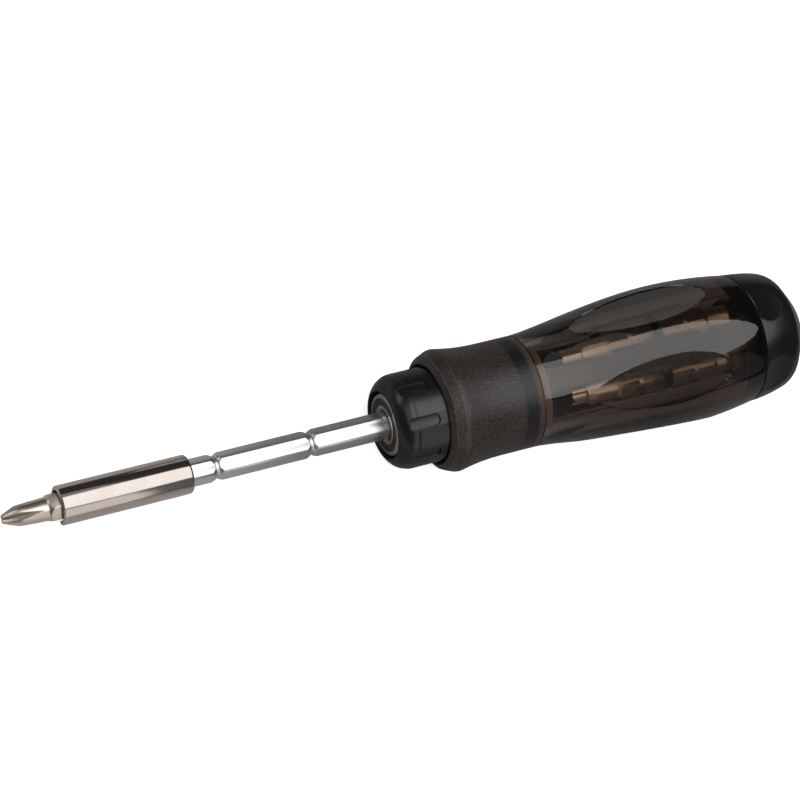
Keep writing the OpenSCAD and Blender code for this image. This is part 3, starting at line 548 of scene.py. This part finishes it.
def floor():
    """A plain white floor. Mirrored in the tool it is a painted grey, with painted shade under the
    handle.
    """
    put_down()
    bpy.ops.mesh.primitive_plane_add(size=6.0)
    ground = bpy.context.object
    ground.name = "floor"
    belly_low, bit_low, between = 18.65, 0.9, 189.0
    lean = math.atan2(belly_low - bit_low, between)
    put_down()
    ground.data.transform(Matrix.Translation(Vector((0, 0, -bit_low * MM)))
                          @ Matrix.Rotation(lean, 4, "Y"))
    mat, tree, bsdf = shader("floor_white")
    bsdf.inputs["Base Color"].default_value = (0.86, 0.86, 0.86, 1)
    bsdf.inputs["Roughness"].default_value = 0.9
    bsdf.inputs["Emission Color"].default_value = (1, 1, 1, 1)
    bsdf.inputs["Emission Strength"].default_value = 0.75
    # painted reflection: rays other than the camera's see a grey floor, not the white one
    grey = tree.nodes.new("ShaderNodeBsdfDiffuse")
    split = tree.nodes.new("ShaderNodeSeparateXYZ")
    tree.links.new(place_on_piece(tree), split.inputs[0])
    # painted shade: that grey floor is darker under the handle than near the bit
    painted_shade_under_handle = mapped(tree, split.outputs["X"], 0.0, 1.0, 0.045, 0.085)
    tree.links.new(mixed(tree, painted_shade_under_handle, (0.62, 0.6, 0.58), (0.28, 0.27, 0.265)),
                   grey.inputs["Color"])
    tree.links.new(seen_by_camera(tree, grey, bsdf),
                   tree.nodes["Material Output"].inputs["Surface"])
    ground.data.materials.append(mat)


def lamp(name, stand, aim, size, power, tint=(1, 1, 1), shape="RECTANGLE"):
    """A soft lamp or a bounce card, in metres and watts."""
    data = bpy.data.lights.new(name, "AREA")
    data.shape = shape
    data.size, data.size_y = size
    data.energy = power
    data.color = tint
    light = bpy.data.objects.new(name, data)
    light.location = stand
    light.rotation_euler = (Vector(aim) - Vector(stand)).to_track_quat("-Z", "Y").to_euler()
    bpy.context.scene.collection.objects.link(light)


def studio():
    """A white room that hardly lights the tool, softboxes overhead and small cards round it."""
    world = bpy.data.worlds.new("studio")
    world.use_nodes = True
    bpy.context.scene.world = world
    tree = world.node_tree
    room = tree.nodes["Background"]
    room.inputs["Color"].default_value = (1, 1, 1, 1)
    room.inputs["Strength"].default_value = 0.05
    white = tree.nodes.new("ShaderNodeBackground")
    white.inputs["Color"].default_value = (1, 1, 1, 1)
    tree.links.new(seen_by_camera(tree, room, white),
                   tree.nodes["World Output"].inputs["Surface"])
    lamp("overhead", (0.6, -0.15, 1.0), (0.6, -0.15, 0.0), (1.34, 1.44), 9.5, shape="ELLIPSE")
    lamp("overhead_left", (-0.25, -0.15, 1.01), (-0.25, -0.15, 0.0), (1.0, 1.1), 3.6)
    lamp("far_fill", (0.35, 0.78, 1.0), (0.35, 0.78, 0.0), (0.3, 0.45), 0.14)
    lamp("near_card", (0.1, -0.32, 0.12), (0.1, 0.0, 0.0), (0.18, 0.32), 0.19,
         tint=(1.0, 0.95, 0.9))
    lamp("side_card", (0.7, -0.922, 0.388), (0.7, 0.0, 0.0), (1.0, 0.86), 0.36)
    lamp("far_card", (0.56, 0.982, 0.12), (0.56, 0.0, 0.0), (0.26, 0.24), 0.09,
         tint=(1.0, 0.96, 0.93))
    lamp("front_lamp", (-0.46, 0.64, 0.51), (0.12, 0.0, 0.0), (0.5, 0.25), 1.0)
    bpy.context.scene.view_settings.view_transform = "Standard"


camera()
floor()
studio()


# ---------------------------------------------------------------- handle

def handle_barrel():
    """The clear barrel: turned, then each flute pressed in, with a small wall round it."""
    outer, bore, bore_mouth = barrel_line(), 11.35, 11.6
    outer_skin, rear_face, plug_front = 13, 102.15, 98.4
    outline = [(38.3, 14.45), (38.55, outer[1][1])] + outer[2:-1]
    outline += [(102.2, 17.26), (102.4, 17.05), (102.4, bore_mouth), (102.2, bore)]
    outline += [(plug_front - k * 6, bore) for k in range(10)]
    outline += [(38.55, bore), (38.3, bore_mouth)]
    piece = turned("handle_barrel_clear", outline, steps=360)
    mesh = bmesh.new()
    mesh.from_mesh(piece.data)
    for v in mesh.verts:
        a, r = along_and_out(v.co)
        if r < outer_skin or not FLUTE_FRONT - SLID_BEYOND < a < FLUTE_REAR + SLID_BEYOND:
            continue
        turn = math.atan2(v.co.y, -v.co.z)
        middle = min(FLUTES, key=lambda f: abs(turn_off(f, turn)))
        off = math.degrees(turn_off(middle, turn))
        turn = middle + math.copysign(math.radians(edge_aligned(a, r, abs(off))), off)
        hollow = flute_radius(a, turn)
        if hollow is not None and hollow < r - 0.002:    # on the edge itself the skin stays
            r = hollow - FLUTE_WALL
        v.co = place(a, r, turn)
    mesh.to_mesh(piece.data)
    mesh.free()
    finished(piece, barrel_smoke, "handle", ["handle_barrel"], angle=40)
    # the rear face and the bore round the cap's plug look black, because the cap shows there
    piece.data.materials.append(carrier_black)
    for face in piece.data.polygons:
        a, r = along_and_out(face.center)
        if a > rear_face and r < 17.3 or a > plug_front and r < bore_mouth:
            face.material_index = 1


def handle_collar():
    """The frosted collar, from its bevelled crest down to the waist."""
    waist = [(16.8 + 12.2 * t / 16, WAIST_RADIUS + 1.3 * (1 - t / 16) ** 2) for t in range(1, 17)]
    outline = [(12.42, 12.85), (12.3, 12.98), (12.3, 13.3), (12.4, 13.46), (13.36, 14.72),
               (13.45, 14.8), (13.58, 14.87), (15.75, 15.79), (15.9, 15.84), (16.1, 15.9),
               (16.8, 15.99)] + waist
    outline += [(33.0, WAIST_RADIUS), (38.12, WAIST_RADIUS), (38.3, 14.55), (38.3, 13.64),
                (33.0, 13.64), (33.0, 12.6), (16.2, 12.6), (16.2, 13.7), (13.9, 13.7),
                (13.9, 12.85)]
    piece = turned("handle_collar_frosted", outline, steps=192)
    finished(piece, collar_frost, "handle", ["handle_collar"], angle=24)


def end_cap():
    """The domed cap with its plug, turned, then each thumb dimple pressed in."""
    dome_front, dome_inner, rounding = 102.9, 12, 0.08
    outline = [(102.65, 16.85), (102.7, 17.05), (dome_front, 17.21)]
    outline += bow((dome_front, 17.21), (106.5, 17.15), (111, 16.06), 28)
    outline += bow((111, 16.06), (114.0, 15.4), (114.7, 14.0), 12)
    outline += bow((114.7, 14.0), (118.8, 8.9), (119.0, 8.0), 16)
    outline += [(119.0, 7.6), (119.0, 0.0001), (106.4, 0.0001), (106.4, 4.4), (102.45, 4.4),
                (102.45, 9.9), (98.5, 9.9), (98.5, 11.05), (98.65, 11.2), (100.2, 11.2),
                (100.2, 10.5), (101.3, 10.5), (101.3, 11.2), (102.65, 11.2)]
    piece = turned("end_cap_black", outline, steps=240)
    mesh = bmesh.new()
    mesh.from_mesh(piece.data)
    for v in mesh.verts:
        a, r = along_and_out(v.co)
        if r < dome_inner or a < dome_front:
            continue
        scoop = DIMPLE_FLOOR + DIMPLE_ROUND - math.sqrt(DIMPLE_ROUND ** 2
                                                        - (a - DIMPLE_MIDDLE) ** 2)
        for turn in DIMPLES:
            out = Vector((0, math.sin(turn), -math.cos(turn)))
            high = v.co.dot(out) / MM
            v.co += out * (soft_least(high, scoop, rounding) - high) * MM
    mesh.to_mesh(piece.data)
    mesh.free()
    finished(piece, cap_black, "magazine", ["end_cap"])


def pick(tool, kind, wanted):
    """In edit mode, selects the edges or faces that are wanted and nothing else."""
    mesh = bmesh.from_edit_mesh(tool.data)
    bpy.ops.mesh.select_all(action="DESELECT")
    bpy.context.tool_settings.mesh_select_mode = (False, kind == "edges", kind == "faces")
    for part in getattr(mesh, kind):
        part.select = wanted(part)
    mesh.select_flush_mode()
    bmesh.update_edit_mesh(tool.data)


def upright_at(front):
    """Tells whether an edge is an upright one at the front or rear end of the recess tool."""
    end = (RECESS_LENGTH / 2 - 0.1) * MM

    def wanted(edge):
        p, q = (v.co for v in edge.verts)
        return abs(p.z - q.z) > 1 * MM and (p.x < -end if front else p.x > end)
    return wanted


def recess_tool(turn):
    """The shape of one grip recess: round corners, a tighter pair in front, and walls that slope
    in to the floor."""
    above = 4.0
    floor_length, floor_width = 8.25, 3.05
    put_down()
    bpy.ops.mesh.primitive_cube_add(size=1.0)
    tool = bpy.context.object
    open_up()
    bpy.ops.transform.resize(value=(RECESS_LENGTH * MM, RECESS_WIDTH * MM, above * MM))
    bpy.ops.transform.translate(value=(0, 0, -above / 2 * MM))
    for front, corner in ((True, 0.9), (False, 1.45)):
        pick(tool, "edges", upright_at(front))
        bpy.ops.mesh.bevel(offset=corner * MM, segments=8, profile=0.5)
    pick(tool, "faces", lambda face: face.normal.z > 0.9)
    inwards = (0, 0, RECESS_DEPTH * MM)
    bpy.ops.mesh.extrude_region_move(TRANSFORM_OT_translate={"value": inwards})
    bpy.ops.transform.resize(value=(floor_length / RECESS_LENGTH, floor_width / RECESS_WIDTH, 1),
                             center_override=inwards)
    bpy.ops.mesh.bevel(offset=0.1 * MM, segments=2, profile=0.5)
    put_down()
    bpy.context.tool_settings.mesh_select_mode = (True, False, False)
    mouth = Vector(((NOSE + RECESS_MIDDLE) * MM, 0, -SELECTOR_RADIUS * MM))
    tool.data.transform(Matrix.Rotation(turn, 4, "X") @ Matrix.Translation(mouth))
    return tool


def selector_ring():
    """The black ring: a round nose, the grip with its recesses and a flange at the rear."""
    nose = []
    for i in range(1, 15):
        w = math.radians(90 * i / 14)
        nose.append((-0.5 + 4.8 * (1 - math.cos(w)), 8.85 + 3.45 * math.sin(w) ** 1.5))
    outline = [(0.17, 8.68), (0.0, 8.85), (-0.38, 8.85)] + nose
    outline += [(4.33, 12.18), (4.44, 12.18), (4.47, SELECTOR_RADIUS), (14.2, SELECTOR_RADIUS),
                (14.2, 13.3), (14.35, 13.5), (15.85, 13.5), (16.0, 13.3), (16.0, 8.68)]
    piece = turned("selector_ring_body", outline, steps=192)
    for turn in RECESSES:
        cut(piece, recess_tool(turn))
    bevelled(piece, 0.08, 35)
    finished(piece, selector_black, "selector", ["selector_ring"])


# ---------------------------------------------------------------- shaft, sleeve and bits

def bit_sleeve():
    """The plated sleeve with a socket at each end."""
    outline = [(-87.0, 3.95), (-87.0, 4.6), (-86.94, 4.74), (-86.84, 4.86), (-86.7, 4.95),
               (-54.0, 4.95), (-53.7, 4.88), (-53.42, 4.65), (-53.3, 4.3), (-53.3, 3.72),
               (-68.5, 3.72), (-68.5, 2.9), (-75.5, 2.9), (-75.5, 3.68), (-85.6, 3.68),
               (-85.6, 3.95)]
    piece = turned("bit_sleeve_turned", outline, steps=160)
    finished(piece, sleeve_nickel, "shaft", ["bit_sleeve"])


def standard(node, body, material, edge=0.0):
    """A piece that keeps the solid's shape, with its edges rounded by a little."""
    piece = copied(node + "_part", node)
    if edge:
        bevelled(piece, edge, 25)
    finished(piece, material, body, [node])


def size_mark(name, digits, along):
    """A plain number pressed into the outward flat of a stored bit, read with the tool's tip to
    the right."""
    turn, bit_circle, half_hex = math.radians(225), 7.85, 3.175
    put_down()
    bpy.ops.object.text_add()
    mark = bpy.context.object
    mark.name = mark.data.name = name
    mark.data.body = digits
    mark.data.align_x = mark.data.align_y = "CENTER"
    mark.data.size = 2.7 * MM
    mark.data.extrude = 0.02 * MM
    mark.data.resolution_u = 6
    bpy.ops.object.convert(target="MESH")
    mark = bpy.context.object
    out = Vector((0, math.sin(turn), -math.cos(turn)))
    right = Vector((-1, 0, 0))
    stand = Matrix((right, out.cross(right), out)).transposed().to_4x4()
    spot = place(along, bit_circle + half_hex, turn)
    mark.data.transform(Matrix.Translation(spot) @ stand)
    finished(mark, mark_grey, "magazine", [])


handle_barrel()
handle_collar()
end_cap()
selector_ring()
bit_sleeve()
standard("drive_shaft", "shaft", shaft_chrome, 0.12)
standard("driver_bit", "bit", bit_nickel, 0.06)
standard("bearing_outer_ring", "handle", ground_steel)
standard("bearing_inner_ring", "spindle", bright_steel)
standard("bearing_front_seal", "handle", seal_rubber, 0.08)
standard("bit_carrier", "magazine", carrier_black, 0.1)
for row in ("front", "rear"):
    for k in range(1, 6):
        standard(f"{row}_bit_{k}", "magazine", stored_nickel, 0.08)

size_mark("front_bit_4_number", "30", 67.0)
size_mark("rear_bit_4_number", "8", 81.5)

# Solids that stay as they are, hidden inside or nearly so, and their finish.
PLAIN = {
    "bit_magnet": bright_steel, "bit_clip": bright_steel, "shaft_stop_ring": bright_steel,
    "bearing_balls": bright_steel, "bearing_cage": cage_brass, "bearing_rear_seal": seal_rubber,
    "selector_cam": tool_steel, "selector_detent_spring": bright_steel,
    "ratchet_housing": carrier_black, "housing_cover": cover_brown, "spindle": tool_steel,
    "ratchet_gear": tool_steel, "pawl_a": tool_steel, "pawl_b": tool_steel,
    "pawl_pins": tool_steel, "pawl_spring_a": bright_steel, "pawl_spring_b": bright_steel,
    "spindle_bush": bush_bronze, "thrust_washer": bright_steel,
    "spindle_circlip": bright_steel, "shaft_detent_ring": bright_steel,
    "cap_seal_ring": plug_rubber,
}
for node, material in PLAIN.items():
    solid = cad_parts[node]
    solid.data.materials.clear()
    solid.data.materials.append(material)
